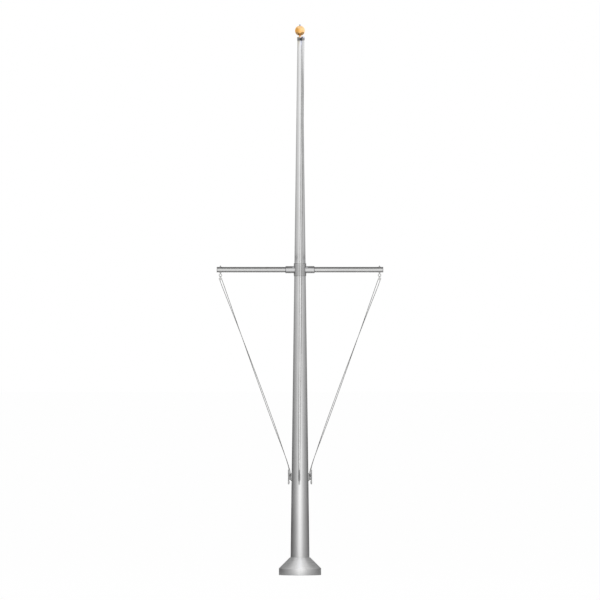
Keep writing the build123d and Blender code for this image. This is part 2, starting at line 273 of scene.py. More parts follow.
def setInputs(node, **values):
    for key, value in values.items():
        node.inputs[key.replace("_", " ")].default_value = value
    return node


def addNode(tree, kind, operation=None, **values):
    node = tree.nodes.new("ShaderNode" + kind)
    if operation:
        node.operation = operation
    return setInputs(node, **values)


def groupTree(name, sockets, outputs):
    tree = bpy.data.node_groups.new(name, "ShaderNodeTree")
    for socketName, kind, value in sockets:
        socket = tree.interface.new_socket(socketName, in_out="INPUT", socket_type=kind)
        socket.default_value = value
    for socketName, kind in outputs:
        tree.interface.new_socket(socketName, in_out="OUTPUT", socket_type=kind)
    groups[name] = tree
    return tree, tree.nodes.new("NodeGroupInput"), tree.nodes.new("NodeGroupOutput")


def makeGrainGroup():  # fine parallel lines, long in the directions where Stretch is small
    tree, source, result = groupTree(
        "fineGrain", [("Stretch", "NodeSocketVector", (1, 1, 1))], [("Mask", "NodeSocketFloat")],
    )
    where = addNode(tree, "TexCoord")
    scale = addNode(tree, "VectorMath", "MULTIPLY")
    noise = addNode(tree, "TexNoise", Scale=1.0, Detail=4.0, Roughness=0.62)
    spread = addNode(tree, "MapRange", From_Min=0.3, From_Max=0.7)
    link(tree, where, "Object", scale, 0)
    link(tree, source, "Stretch", scale, 1)
    link(tree, scale, "Vector", noise, "Vector")
    link(tree, noise, "Fac", spread, "Value")
    link(tree, spread, "Result", result, "Mask")


def makeWeatherGroup():  # soft cloudy patches and a few small specks, for handling marks and dust
    tree, source, result = groupTree(
        "weather",
        [("Patch Size", "NodeSocketFloat", 3.0), ("Speck Size", "NodeSocketFloat", 60.0)],
        [("Patches", "NodeSocketFloat"), ("Specks", "NodeSocketFloat")],
    )
    where = addNode(tree, "TexCoord")
    cloud = addNode(tree, "TexNoise", Detail=5.0)
    grit = addNode(tree, "TexVoronoi")
    soften = addNode(tree, "MapRange", From_Min=0.35, From_Max=0.65)
    cut = addNode(tree, "MapRange", From_Min=0.12, From_Max=0.04)
    link(tree, where, "Object", cloud, "Vector")
    link(tree, where, "Object", grit, "Vector")
    link(tree, source, "Patch Size", cloud, "Scale")
    link(tree, source, "Speck Size", grit, "Scale")
    link(tree, cloud, "Fac", soften, "Value")
    link(tree, grit, "Distance", cut, "Value")
    link(tree, soften, "Result", result, "Patches")
    link(tree, cut, "Result", result, "Specks")


def useGroup(tree, name, **values):
    node = addNode(tree, "Group")
    node.node_tree = groups[name]
    return setInputs(node, **values)


# Materials


def startMaterial(name, roughness, metallic):
    material = bpy.data.materials.new(name)
    material.use_nodes = True
    tree = material.node_tree
    shader = setInputs(tree.nodes["Principled BSDF"], Roughness=roughness, Metallic=metallic)
    return material, tree, shader


def tone(level):  # one number stands for a grey
    return (*level, 1) if isinstance(level, tuple) else (level, level, level, 1)


def colourBetween(tree, shader, mask, output, dark, light):
    mix = addNode(tree, "Mix")
    mix.data_type = "RGBA"
    mix.inputs[6].default_value = tone(dark)
    mix.inputs[7].default_value = tone(light)
    link(tree, mask, output, mix, 0)
    link(tree, mix, 2, shader, "Base Color")


def valueBetween(tree, shader, socket, mask, output, low, high):
    spread = addNode(tree, "MapRange", To_Min=low, To_Max=high)
    link(tree, mask, output, spread, "Value")
    link(tree, spread, "Result", shader, socket)


def addRelief(tree, shader, mask, output, height):
    bump = addNode(tree, "Bump", Strength=1.0, Distance=height)
    link(tree, mask, output, bump, "Height")
    link(tree, bump, "Normal", shader, "Normal")


def brushedMetal(name, dark, light, rough, stretch, relief, patchSize=2.0):
    material, tree, shader = startMaterial(name, rough[0], 1.0)
    grain = useGroup(tree, "fineGrain", Stretch=stretch)
    marks = useGroup(tree, "weather", Patch_Size=patchSize)
    colourBetween(tree, shader, marks, "Patches", dark, light)
    valueBetween(tree, shader, "Roughness", grain, "Mask", *rough)
    addRelief(tree, shader, grain, "Mask", relief)
    return material


def castMetal(name, dark, light, rough, relief):
    material, tree, shader = startMaterial(name, rough[0], 1.0)
    skin = useGroup(tree, "fineGrain", Stretch=(420, 420, 420))
    marks = useGroup(tree, "weather", Patch_Size=25.0)
    colourBetween(tree, shader, marks, "Patches", dark, light)
    valueBetween(tree, shader, "Roughness", marks, "Patches", *rough)
    addRelief(tree, shader, skin, "Mask", relief)
    return material


makeGrainGroup()
makeWeatherGroup()

turnedGrain = (5, 5, 700)  # lines that run round the mast
lengthGrain = (3, 420, 420)  # lines that run along the yard

mastMetal = brushedMetal("satinMast", 0.73, 0.77, (0.27, 0.34), turnedGrain, 0.000004)
# Painted shade: the yard, its sockets and the collar are the mast's satin aluminium made darker,
# standing in for the shade on them
shadedYardMetal = brushedMetal(
    "satinYardShaded", (0.57, 0.57, 0.565), (0.62, 0.62, 0.615), (0.24, 0.32), lengthGrain, 0.000004,
)
shadedSocketMetal = brushedMetal("satinSocketShaded", 0.57, 0.62, (0.28, 0.36), lengthGrain, 0.000004)
shadedCollarMetal = brushedMetal("satinCollarShaded", 0.53, 0.58, (0.22, 0.3), turnedGrain, 0.000004)
flashMetal = brushedMetal("spunFlash", 0.83, 0.87, (0.25, 0.33), turnedGrain, 0.000005)
truckMetal = brushedMetal(
    "polishedTruck", (0.44, 0.43, 0.43), (0.5, 0.49, 0.5), (0.09, 0.14), (90, 90, 700), 0.00001,
    patchSize=20.0,
)
goldMetal = brushedMetal(
    "goldBall", (0.96, 0.53, 0.18), (1.0, 0.6, 0.24), (0.2, 0.26), (30, 30, 900), 0.00001,
    patchSize=12.0,
)
steelMetal = brushedMetal(
    "stainless", (0.5, 0.5, 0.49), (0.58, 0.58, 0.57), (0.2, 0.3), (260, 260, 260), 0.00001,
    patchSize=40.0,
)
castSkin = castMetal("castAluminium", 0.42, 0.5, (0.36, 0.46), 0.00012)


def makeWeldMetal():
    material, tree, shader = startMaterial("weldBead", 0.35, 1.0)
    marks = useGroup(tree, "weather", Patch_Size=160.0, Speck_Size=500.0)
    colourBetween(tree, shader, marks, "Patches", 0.4, 0.6)
    valueBetween(tree, shader, "Roughness", marks, "Specks", 0.3, 0.5)
    return material


def makeNylon():
    material, tree, shader = startMaterial("sheaveNylon", 0.4, 0.0)
    marks = useGroup(tree, "weather", Patch_Size=90.0, Speck_Size=700.0)
    colourBetween(tree, shader, marks, "Patches", (0.035, 0.035, 0.037), (0.06, 0.06, 0.062))
    valueBetween(tree, shader, "Roughness", marks, "Specks", 0.36, 0.5)
    return material


def makeRopeFibre(name, dull, clean):  # grey braid, a little paler where it is clean
    material, tree, shader = startMaterial(name, 0.85, 0.0)
    yarn = useGroup(tree, "fineGrain", Stretch=(900, 900, 900))
    dust = useGroup(tree, "weather", Patch_Size=4.0)
    colourBetween(tree, shader, dust, "Patches", dull, clean)
    addRelief(tree, shader, yarn, "Mask", 0.0002)
    setInputs(shader, Sheen_Weight=0.2)
    return material


weldMetal = makeWeldMetal()
nylon = makeNylon()
# One halyard rope in two tones: painted shade makes the side halyards darker, and painted light makes
# the mast halyard paler
sideRopeShaded = makeRopeFibre("sideRopeShaded", (0.165, 0.165, 0.163), (0.24, 0.24, 0.237))
mastRopeLit = makeRopeFibre("mastRopeLit", (0.36, 0.36, 0.356), (0.46, 0.46, 0.456))
print("materials made")

# Sizes that several pieces share

mastTop = 7.62
yardHeight = 4.357
eyeReach = 1.135
blockHeight = 4.227
blockPitch = 0.015  # from the sheave's axle to the middle of the rope
truckPitch = 0.021
truckArm = 0.051
frontAngle = -95  # of the front cleat from the yard's right half
truckBase = 7.6243
truckTop = 7.6773
truckTurn = -28
truckOut = spoke(truckTurn)
truckAcross = spoke(truckTurn - 90)
truckAxle = truckOut * truckArm + Vector((0, 0, 7.6523))


def mastRadius(height):
    return 0.1385 - 0.01325459 * height


# Cords

rope = {"radius": 0.0045, "strandRise": 0.00025, "strands": 12, "pitch": 0.0052}
firstTurn = [
    (0.1325, -0.0125, 1.454),
    (0.134, -0.0125, 1.3731),
    (0.134, -0.0125, 1.3627),
    (0.1345, -0.0052, 1.3553),
    (0.1354, 0.0052, 1.3553),
    (0.136, 0.0125, 1.3627),
    (0.1367, 0.0125, 1.3731),
    (0.1399, 0.0123, 1.4229),
    (0.1406, 0.0123, 1.4331),
    (0.1416, 0.0051, 1.4403),
    (0.1432, -0.0051, 1.4403),
    (0.1443, -0.0123, 1.4331),
    (0.1445, -0.0123, 1.4229),
    (0.1448, -0.0123, 1.405),
]
secondTurn = [
    (0.1515, 0.0123, 1.5),
    (0.151, 0.0125, 1.3731),
    (0.151, 0.0125, 1.3627),
    (0.151, 0.0052, 1.3553),
    (0.151, -0.0052, 1.3553),
    (0.151, -0.0125, 1.3627),
    (0.151, -0.0123, 1.378),
]
sideFirst = [
    (0.866, 0.01, 3.5), (0.442, 0.001, 2.3), (0.1915, -0.007, 1.65), (0.1557, -0.0103, 1.531),
]
sideSecond = [(0.866, -0.01, 3.5), (0.4135, -0.001, 2.3), (0.1945, 0.007, 1.65)]
mastFirst = [(-0.003, -0.0955, 4.48), (-0.009, -0.0951, 4.24)]
mastSecond = [(0.0475, -0.0438, 6.2), (0.0305, -0.091, 4.48), (0.0285, -0.0916, 4.24)]


def facing(points, degrees):
    spin = Matrix.Rotation(math.radians(degrees), 3, "Z")
    return [spin @ Vector(point) for point in points]


def halfTurn(centre, start, crown, radius):
    reach = radius / math.cos(math.radians(22.5))
    points = []
    for step in range(4):
        angle = math.radians(22.5 + 45 * step)
        points.append(centre + (start * math.cos(angle) + crown * math.sin(angle)) * reach)
    return points


def pathCurve(name, points, smoothness=16):
    data = bpy.data.curves.new(name, "CURVE")
    data.dimensions = "3D"
    data.resolution_u = smoothness
    spline = data.splines.new("NURBS")
    spline.points.add(len(points) - 1)
    for point, where in zip(spline.points, points):
        point.co = (*where, 1)
    spline.order_u = 3
    spline.use_endpoint_u = True
    path = bpy.data.objects.new(name, data)
    bpy.context.scene.collection.objects.link(path)
    return path


def ropeUnit():  # two rings of raised and sunk strands, one pitch long
    clearSelection()
    bpy.ops.mesh.primitive_circle_add(vertices=rope["strands"], radius=rope["radius"])
    unit = nameActive("ropeUnit")
    unit.rotation_euler = (0, math.radians(90), 0)
    settle(unit)
    for ring in range(3):
        bpy.ops.object.mode_set(mode="EDIT")
        if ring:
            lift = {"value": (rope["pitch"] / 2, 0, 0)}
            bpy.ops.mesh.extrude_region_move(TRANSFORM_OT_translate=lift)
        else:
            bpy.ops.mesh.select_all(action="SELECT")
        bpy.ops.object.mode_set(mode="OBJECT")
    return unit


def sinksHere(vertex):
    ring, strand = divmod(vertex.index, rope["strands"])
    return (ring + strand) % 2 == 0


def sinkStrands(unit):  # every second strand lies lower, and the next ring has them the other way
    openChosen(unit, "VERT", sinksHere)
    lower = 1 - 2 * rope["strandRise"] / rope["radius"]
    bpy.ops.transform.resize(value=(1, lower, lower), center_override=(0, 0, 0))
    closeMesh(unit)


def braidedRope(name, points):
    path = pathCurve(name + "Path", points)
    length = path.data.splines[0].calc_length()
    line = ropeUnit()
    sinkStrands(line)
    count = round(length / rope["pitch"])
    applyModifier(
        line, "ARRAY", fit_type="FIXED_COUNT", count=count, use_merge_vertices=True,
        merge_threshold=0.00002,
    )
    line.scale = (length / (count * rope["pitch"]), 1, 1)
    fillEnds(settle(line))
    applyModifier(line, "CURVE", object=path, deform_axis="POS_X")
    bpy.data.objects.remove(path)
    cleanUp(line, 60)
    line.name = line.data.name = name
    print(name, round(length, 3), "m")
    return line


def sideHalyard():
    down = Vector((-0.3396, 0, -0.9406))
    inward = Vector((-0.9406, 0, 0.3396))
    centre = Vector((eyeReach, 0, blockHeight))
    inner, outer = centre + inward * blockPitch, centre - inward * blockPitch
    first = [inner + down * 0.0062, inner + down * 0.15, *sideFirst, *firstTurn]
    second = [outer + down * 0.0062, outer + down * 0.15, *sideSecond, *secondTurn]
    over = halfTurn(centre, inward, -down, blockPitch)
    return braidedRope("sideHalyardRight", [*reversed(first), *over, *second])


def mastHalyard():
    # From the front cleat up one line, over the truck's sheave and down the other
    low = truckOut * truckArm + Vector((0, 0, 7.538))
    high = truckOut * truckArm + Vector((0, 0, 7.6436))
    side = truckAcross * truckPitch
    first = [high + side, low + side, *mastFirst, *facing(firstTurn, frontAngle)]
    second = [high - side, low - side, *mastSecond, *facing(secondTurn, frontAngle)]
    over = halfTurn(truckAxle, truckAcross, Vector((0, 0, 1)), truckPitch)
    return braidedRope("mastHalyard", [*reversed(first), *over, *second])


finishPair(sideHalyard(), sideRopeShaded, "rope", "halyard_")
frontHalyard = mastHalyard()
frontHalyard.data.materials.append(mastRopeLit)
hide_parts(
    "mast_halyard_left_line", "mast_halyard_right_line", "mast_halyard_top"
)
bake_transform(frontHalyard)
print("cords made")

# Mast

mastShape = {"wall": 0.00635, "seat": 0.012, "edge": 0.0015, "stations": 24}


def makeMast():
    seat, wall, edge = mastShape["seat"], mastShape["wall"], mastShape["edge"]
    run = mastTop - seat - edge
    heights = [seat + run * step / mastShape["stations"] for step in range(mastShape["stations"] + 1)]
    outside = [(mastRadius(height), height) for height in heights]
    rim = [(mastRadius(mastTop) - edge, mastTop), (mastRadius(mastTop) - wall, mastTop)]
    inside = [(mastRadius(seat) - wall, seat), outside[0]]
    return turned("mastTube", [*outside, *rim, *inside], around=128, ringShaped=True)


finish(makeMast(), mastMetal, "root", "satin_aluminium", "mast")

# Flash collar

flashShape = {"foot": 0.3015, "skirt": 0.096, "shoulder": 0.157, "coneTop": 0.2405,
              "rim": 0.145, "top": 0.2525, "mouth": 0.13545, "sheet": 0.003, "hem": 0.0006}


def makeFlashCollar():
    shape = flashShape
    foot, shoulder, mouth, sheet = shape["foot"], shape["shoulder"], shape["mouth"], shape["sheet"]
    under = sheet * math.tan(math.radians(22.5))
    outside = roundedRings([
        (foot, shape["hem"], 0),
        (foot, shape["skirt"], 0.008),
        (shoulder, shape["coneTop"], 0.014),
        (shape["rim"], shape["top"], 0.006),
        (mouth, shape["top"], 0),
    ])
    inside = roundedRings([
        (mouth, shape["top"] - sheet, 0),
        (shape["rim"] - under, shape["top"] - sheet, 0.004),
        (shoulder - under, shape["coneTop"] - sheet, 0.011),
        (foot - sheet, shape["skirt"] - under, 0.005),
        (foot - sheet, shape["hem"], 0),
    ])
    rim = [(foot - sheet, 0), (foot, 0), outside[0]]
    return turned("flashCollarShell", [*outside, *inside, *rim], around=192, ringShaped=True)


finish(makeFlashCollar(), flashMetal, "root", "spun_aluminium", "flash_collar")

# Yard's collar, sockets, tubes and caps

collarShape = {"radius": 0.08822, "bottom": 4.26475, "top": 4.44925, "edge": 0.0055,
               "gap": 0.00015, "screwAngles": (60, 120), "screwLift": 0.06}
socketShape = {"radius": 0.051, "foot": 0.06, "reach": 0.21, "chamfer": 0.009, "bore": 0.0396,
               "screwReaches": (0.125, 0.185)}
socketWeld = {"bead": 0.0034, "beads": 84, "lift": 0.0004}
spar = {"radius": 0.0395, "wall": 0.0032, "inner": 0.08997, "middle": 0.6, "outer": 1.178,
        "end": 1.188, "edge": 0.0004, "holeRadius": 0.0062}
sparCap = {"wall": 0.003, "depth": 0.022, "rounding": 0.0045, "gap": 0.0001, "edge": 0.0006,
           "lid": 0.0005}
screw = {"radius": 0.0045, "depth": 0.006, "edge": 0.0005, "key": 0.0025, "keyDepth": 0.003}


def makeCollar():
    shape = collarShape
    lowBore = mastRadius(shape["bottom"]) + shape["gap"]
    highBore = mastRadius(shape["top"]) + shape["gap"]
    rings = roundedRings([
        (lowBore, shape["bottom"], 0),
        (shape["radius"], shape["bottom"], shape["edge"]),
        (shape["radius"], shape["top"], shape["edge"]),
        (highBore, shape["top"], 0),
        (lowBore, shape["bottom"], 0),
    ], steps=8)
    return turned("yardCollarSleeve", rings, around=128, ringShaped=True)


def alongYard(piece):  # from its turning axis Z to the yard's axis
    return place(piece, (0, 0, yardHeight), (0, 90, 0))


def makeSocket():
    shape = socketShape
    foot = shape["foot"]
    rings = roundedRings([
        (shape["bore"], foot, 0),
        (shape["radius"], foot, 0),
        (shape["radius"], shape["reach"] - shape["chamfer"], 0.004),
        (shape["radius"] - shape["chamfer"], shape["reach"], 0.0015),
        (shape["bore"], shape["reach"], 0),
        (shape["bore"], foot, 0),
    ])
    socket = alongYard(turned("yardSocketRight", rings, around=96, ringShaped=True))
    sleeve = makeRod("sleeve", 128, collarShape["radius"], 0.3, (0, 0, yardHeight))
    fuse(socket, [sleeve], "DIFFERENCE")
    return cleanUp(socket)


def makeSetScrew(name, where, outward):
    # Headless screw with a hexagonal key hole, standing half its length out of the wall
    piece = bevelEdges(makeRod(name, 32, screw["radius"], screw["depth"]), screw["edge"], 2)
    key = makeRod("key", 6, screw["key"], 2 * screw["keyDepth"], (0, 0, screw["depth"] / 2))
    fuse(piece, [key], "DIFFERENCE")
    piece.rotation_euler = Vector(outward).to_track_quat("Z", "Y").to_euler()
    piece.location = where
    return cleanUp(settle(piece))


def makeSpar():
    shape = spar
    bore = shape["radius"] - shape["wall"]
    rings = [
        (bore, shape["inner"]),
        (shape["radius"], shape["inner"]),
        (shape["radius"], shape["middle"]),
        (shape["radius"], shape["outer"] - shape["edge"]),
        (shape["radius"] - shape["edge"], shape["outer"]),
        (bore, shape["outer"]),
        (bore, shape["inner"]),
    ]
    tube = alongYard(turned("yardTubeRight", rings, around=96, ringShaped=True))
    hole = makeRod("boltHole", 48, shape["holeRadius"], 0.12, (eyeReach, 0, yardHeight))
    fuse(tube, [hole], "DIFFERENCE")
    return cleanUp(tube)


def makeCap():
    shape = sparCap
    radius, seat, end = spar["radius"], spar["outer"], spar["end"]
    spigot = radius - spar["wall"] - shape["gap"]
    bore = spigot - shape["wall"] - shape["gap"]
    middle = 0.0005
    rings = roundedRings([
        (bore, seat - shape["depth"], 0),
        (spigot, seat - shape["depth"], shape["edge"]),
        (spigot, seat, 0),
        (radius - shape["edge"], seat, 0),
        (radius, seat + shape["edge"], 0),
        (radius, end, shape["rounding"]),
        (radius - 0.012, end, 0),
        (middle, end, 0),
    ], steps=6)
    inner = [(middle, seat - shape["lid"]), (bore, seat - shape["lid"])]
    cap = turned("yardCapRight", [*rings, *inner, rings[0]], around=96, ringShaped=True)
    return alongYard(cleanUp(cap))


def makeWeld(name, points, bead):
    # Beads laid one over the next and run together
    clearSelection()
    bpy.ops.mesh.primitive_uv_sphere_add(segments=12, ring_count=8, radius=bead)
    first = nameActive(name)
    drops = [first] + [copyOf(first, name + "Drop") for _ in points[1:]]
    for drop, where in zip(drops, points):
        drop.location = where
        settle(drop)
    weld = joinPieces(drops, name)
    applyModifier(weld, "REMESH", mode="VOXEL", voxel_size=bead / 6)
    applyModifier(weld, "SMOOTH", iterations=3)
    return cleanUp(weld, 180)


def socketSeam():  # where a socket meets the collar
    reach = socketShape["radius"] + socketWeld["lift"]
    wall = collarShape["radius"] + socketWeld["lift"]
    points = []
    for step in range(socketWeld["beads"]):
        angle = 2 * math.pi * step / socketWeld["beads"]
        y, z = reach * math.cos(angle), reach * math.sin(angle)
        points.append((math.sqrt(wall ** 2 - y ** 2), y, yardHeight + z))
    return points


finish(makeCollar(), shadedCollarMetal, "root", "satin_aluminium", "yard_collar")
yardPieces = [
    (makeSocket(), shadedSocketMetal, "satin_aluminium", "yard_socket_"),
    (makeSpar(), shadedYardMetal, "satin_aluminium", "yard_spar_"),
    (makeCap(), castSkin, "cast_aluminium", "yard_cap_"),
    (makeWeld("socketWeldRight", socketSeam(), socketWeld["bead"]), weldMetal, "satin_aluminium"),
]
for reach in socketShape["screwReaches"]:
    where = (reach, socketShape["radius"], yardHeight)
    yardPieces.append((makeSetScrew("socketScrewRight", where, (0, 1, 0)), steelMetal, "stainless"))
for row in yardPieces:
    finishPair(*row)
for angle in collarShape["screwAngles"]:
    for lift in (-collarShape["screwLift"], collarShape["screwLift"]):
        where = spoke(angle) * collarShape["radius"] + Vector((0, 0, yardHeight + lift))
        collarScrew = makeSetScrew("collarScrew", where, spoke(angle))
        finish(collarScrew, steelMetal, "root", "stainless")
print("mast and yard made")

# Eye bolts and blocks

eyeBolt = {"ring": 0.0185, "wire": 0.005, "root": 0.0055, "flare": 0.0085, "shank": 0.006,
           "drop": 0.08, "top": 4.4110, "threadPitch": 0.00175, "threadDepth": 0.0009}
block = {"inside": 0.0069, "cheek": 0.003, "width": 0.047, "height": 0.043, "crownWidth": 0.018,
         "crownFoot": 0.0201, "crownTop": 0.0256, "bailWire": 0.003, "bailArch": 0.0083,
         "bailCrown": 0.0315, "bore": 0.00405}
sheave = {"lip": 0.0035, "thick": 0.013, "hub": 0.0035, "rim": 0.0038, "sink": 0.0007,
          "corner": 0.0004, "slack": 0.0003}


def bentWire(name, points, radius):
    path = pathCurve(name, points, 8)
    path.data.bevel_depth = radius
    path.data.bevel_resolution = 3
    path.data.use_fill_caps = True
    pick(path)
    bpy.ops.object.convert(target="MESH")
    return cleanUp(nameActive(name), 60)


def makeThread(name, radius, depth, pitch, bottom, top):
    # One groove's profile carried up round the Z axis, then cut level with chamfered ends
    clearSelection()
    bpy.ops.mesh.primitive_circle_add(vertices=3, radius=radius)
    thread = nameActive(name)
    corners = [(radius - depth, bottom - pitch), (radius, bottom - pitch / 2), (radius - depth, bottom)]
    for vertex, (x, z) in zip(thread.data.vertices, corners):
        vertex.co = (x, 0, z)

    def isInner(edge):
        ends = [thread.data.vertices[index].co.x for index in edge.vertices]
        return max(ends) < radius - depth / 2

    openChosen(thread, "EDGE", isInner)
    bpy.ops.mesh.delete(type="EDGE")
    closeMesh(thread)
    rounds = math.ceil((top - bottom) / pitch) + 2
    applyModifier(
        thread, "SCREW", angle=2 * math.pi, screw_offset=pitch, iterations=rounds, steps=24,
        render_steps=24, use_merge_vertices=True, merge_threshold=0.00001,
    )
    faceOutward(fillEnds(thread))
    blank = turned("blank", [
        (radius - 2 * depth, bottom), (2 * radius, bottom + pitch), (2 * radius, top - 1.6 * radius),
        (radius - 2 * depth, top),
    ], around=24)
    fuse(thread, [blank], "INTERSECT")
    return cleanUp(thread, 40)


def makeEyeBolt():
    shape = eyeBolt
    centre = yardHeight - shape["drop"]
    clearSelection()
    bpy.ops.mesh.primitive_torus_add(
        major_radius=shape["ring"], minor_radius=shape["wire"], major_segments=64,
        minor_segments=20, rotation=(math.radians(90), 0, 0), location=(0, 0, centre),
    )
    ring = settle(nameActive("eyeBoltRight"))
    foot = centre + shape["ring"]
    neck = turned("neck", roundedRings([
        (shape["root"], foot - 0.003, 0),
        (shape["flare"], foot, 0.003),
        (shape["shank"], foot + 0.0075, 0.002),
        (shape["root"] + 0.0001, foot + 0.012, 0),
    ]), around=32)
    thread = makeThread(
        "thread", shape["shank"], shape["threadDepth"], shape["threadPitch"], foot + 0.009,
        shape["top"],
    )
    fuse(ring, [neck, thread])
    return cleanUp(place(ring, (eyeReach, 0, 0)), 40)


def makeCheek():
    # Oval plate with rounded edges
    shape = block
    cheek = makeRod("cheek", 96, 0.5, shape["cheek"])
    cheek.scale = (shape["width"], shape["height"], 1)
    return bevelEdges(settle(cheek), 0.0009, 3)


def makeBlockShell():
    shape = block
    outside = shape["inside"] + shape["cheek"]
    middle = shape["inside"] + shape["cheek"] / 2
    cheek = makeCheek()
    parts = [copyOf(cheek, "cheekCopy"), cheek]
    for part, side in zip(parts, (-1, 1)):
        place(part, (0, side * middle, 0), (90, 0, 0))
    for side in (-1, 1):
        size = (shape["crownWidth"], shape["cheek"], 0.02)
        parts.append(makeBox("tab", size, (0, side * middle, shape["crownTop"] - 0.01)))
    size = (shape["crownWidth"], 2 * outside, shape["crownTop"] - shape["crownFoot"])
    crownMiddle = (shape["crownTop"] + shape["crownFoot"]) / 2
    parts.append(makeBox("crown", size, (0, 0, crownMiddle)))
    arch = shape["bailArch"]
    foot = shape["crownTop"] - 0.0025
    top = shape["bailCrown"] + arch
    corner = arch * math.tan(math.radians(22.5))
    bail = bentWire("bail", [
        Vector((0, -arch, foot)), Vector((0, -arch, foot + 0.004)),
        Vector((0, -arch, top - arch + corner)), Vector((0, -corner, top)),
        Vector((0, corner, top)), Vector((0, arch, top - arch + corner)),
        Vector((0, arch, foot + 0.004)), Vector((0, arch, foot)),
    ], shape["bailWire"])
    shell = fuse(parts[0], [*parts[1:], bail])
    shell.name = shell.data.name = "blockShellRight"
    cleanUp(shell)
    fuse(shell, [makeRod("pinHole", 40, shape["bore"], 0.1, turn=(90, 0, 0))], "DIFFERENCE")
    return cleanUp(place(shell, (eyeReach, 0, blockHeight)))


def makeSheave(name, pitch, bore):  # grooved wheel about Z with a raised hub and rounded rims
    outer, half = pitch + sheave["lip"], sheave["thick"] / 2
    hub, rim, sink, corner = sheave["hub"], sheave["rim"], sheave["sink"], sheave["corner"]
    groove = rope["radius"] + sheave["slack"]
    arc = arcRings((pitch, 0), groove, math.radians(90), math.radians(270), 8)
    rings = roundedRings([
        (bore, half, 0),
        (bore + hub, half, corner),
        (bore + hub + sink, half - sink, corner),
        (outer - rim - sink, half - sink, corner),
        (outer - rim, half, corner),
        (outer, half, 2 * corner),
        (outer, groove, corner / 2),
        (pitch + corner, groove, 0),
    ], steps=3)
    low = [(radius, -height) for radius, height in reversed(rings)]
    return turned(name, [*rings, *arc, *low, rings[0]], around=72, ringShaped=True)


def makeBlockSheave():
    wheel = makeSheave("blockSheaveRight", blockPitch, block["bore"])
    return place(wheel, (eyeReach, 0, blockHeight), (90, 0, 0))


for row in (
    (makeEyeBolt(), steelMetal, "stainless", "eye_bolt_"),
    (makeBlockShell(), steelMetal, "stainless", "block_shell_"),
    (makeBlockSheave(), nylon, "sheave_nylon", "block_sheave_", "block_wheel_"),
):
    finishPair(*row)
print("eye bolts and blocks made")

# Truck, its sheave and the ball

truck = {"radius": 0.041, "edge": 0.006, "spindle": 0.01005, "boreTop": 7.6553, "stem": 0.00605,
         "stemFoot": 7.6633, "forkInner": 0.0441, "forkOuter": 0.0579, "cheek": 0.0041,
         "cheekWidth": 0.052, "foot": 7.6283, "roofFoot": 7.6786, "roofTop": 7.6826,
         "corner": 0.0104, "pinRadius": 0.00505, "pinDepth": 0.006, "screwCircle": 0.026,
         "screwAngles": (92, 212, 332)}
ball = {"radius": 0.072, "centre": 7.7673, "neck": 0.014, "hole": 0.00605, "seam": 0.0004,
        "seamAngle": 0.008}
acorn = {"seat": 7.83905, "flats": 0.024, "hex": 0.012, "dome": 0.009, "bore": 0.00605,
         "boreDepth": 0.0093}


def makeFork():  # its corners run along X and are rounded before the slot is cut
    shape = truck
    half = shape["cheekWidth"] / 2
    low = (shape["forkInner"] - shape["cheek"], -half, shape["foot"])
    high = (shape["forkOuter"] + shape["cheek"], half, shape["roofTop"])
    fork = boxBetween("fork", low, high)

    def runsAlong(edge):
        start, end = [fork.data.vertices[index].co for index in edge.vertices]
        return abs((start - end).normalized().x) > 0.99

    openChosen(fork, "EDGE", runsAlong)
    bpy.ops.mesh.bevel(offset=shape["corner"], segments=12)
    bevelEdges(closeMesh(fork), 0.0008, 3, angle=50)
    return fuse(fork, [forkSlot()], "DIFFERENCE")


def forkSlot():
    low = (truck["forkInner"], -0.1, 7.55)
    return boxBetween("forkSlot", low, (truck["forkOuter"], 0.1, truck["roofFoot"]))


def makeTruckBody():
    shape = truck
    cap = turned("truckCap", roundedRings([
        (0.002, truckBase, 0),
        (shape["radius"] - 0.0015, truckBase, 0.0006),
        (shape["radius"], truckBase + 0.0015, 0.0006),
        (shape["radius"], truckTop, shape["edge"]),
        (0.002, truckTop, 0),
    ], steps=8), around=128)
    pinFoot = shape["forkInner"] - shape["cheek"] - shape["pinDepth"]
    where = (pinFoot + 0.05, 0, truckAxle.z)
    pinHole = makeRod("pinHole", 48, shape["pinRadius"], 0.1, where, (0, 90, 0))
    fuse(cap, [forkSlot()], "DIFFERENCE")
    fuse(cap, [makeFork()])
    fuse(cap, [pinHole], "DIFFERENCE")
    place(cap, (0, 0, 0), (0, 0, truckTurn))
    for name, radius, low, high in (
        ("spindleBore", shape["spindle"], truckBase - 0.01, shape["boreTop"]),
        ("stemBore", shape["stem"], shape["stemFoot"], truckTop + 0.01),
    ):
        bore = makeRod(name, 48, radius, high - low, (0, 0, (low + high) / 2))
        fuse(cap, [bore], "DIFFERENCE")
    return cleanUp(cap)


def makeBall():
    shape = ball
    centre, radius = shape["centre"], shape["radius"]
    lowest = math.asin(-math.sqrt(1 - (shape["neck"] / radius) ** 2)) + 0.06
    highest = math.acos(shape["hole"] / radius)
    arc = arcRings((0, centre), radius, lowest, -shape["seamAngle"], 40)
    arc.append((radius - shape["seam"], centre))
    arc += arcRings((0, centre), radius, shape["seamAngle"], highest, 40)
    neckTop = arc[0][1] - 0.002
    neck = roundedRings([
        (shape["hole"], truckTop, 0),
        (shape["neck"] + 0.0015, truckTop, 0.0004),
        (shape["neck"] + 0.0015, truckTop + 0.0025, 0.0006),
        (shape["neck"], truckTop + 0.0035, 0.0006),
        (shape["neck"], neckTop, 0),
    ])
    return turned("ballShell", [*neck, *arc, neck[0]], around=128, angle=60, ringShaped=True)


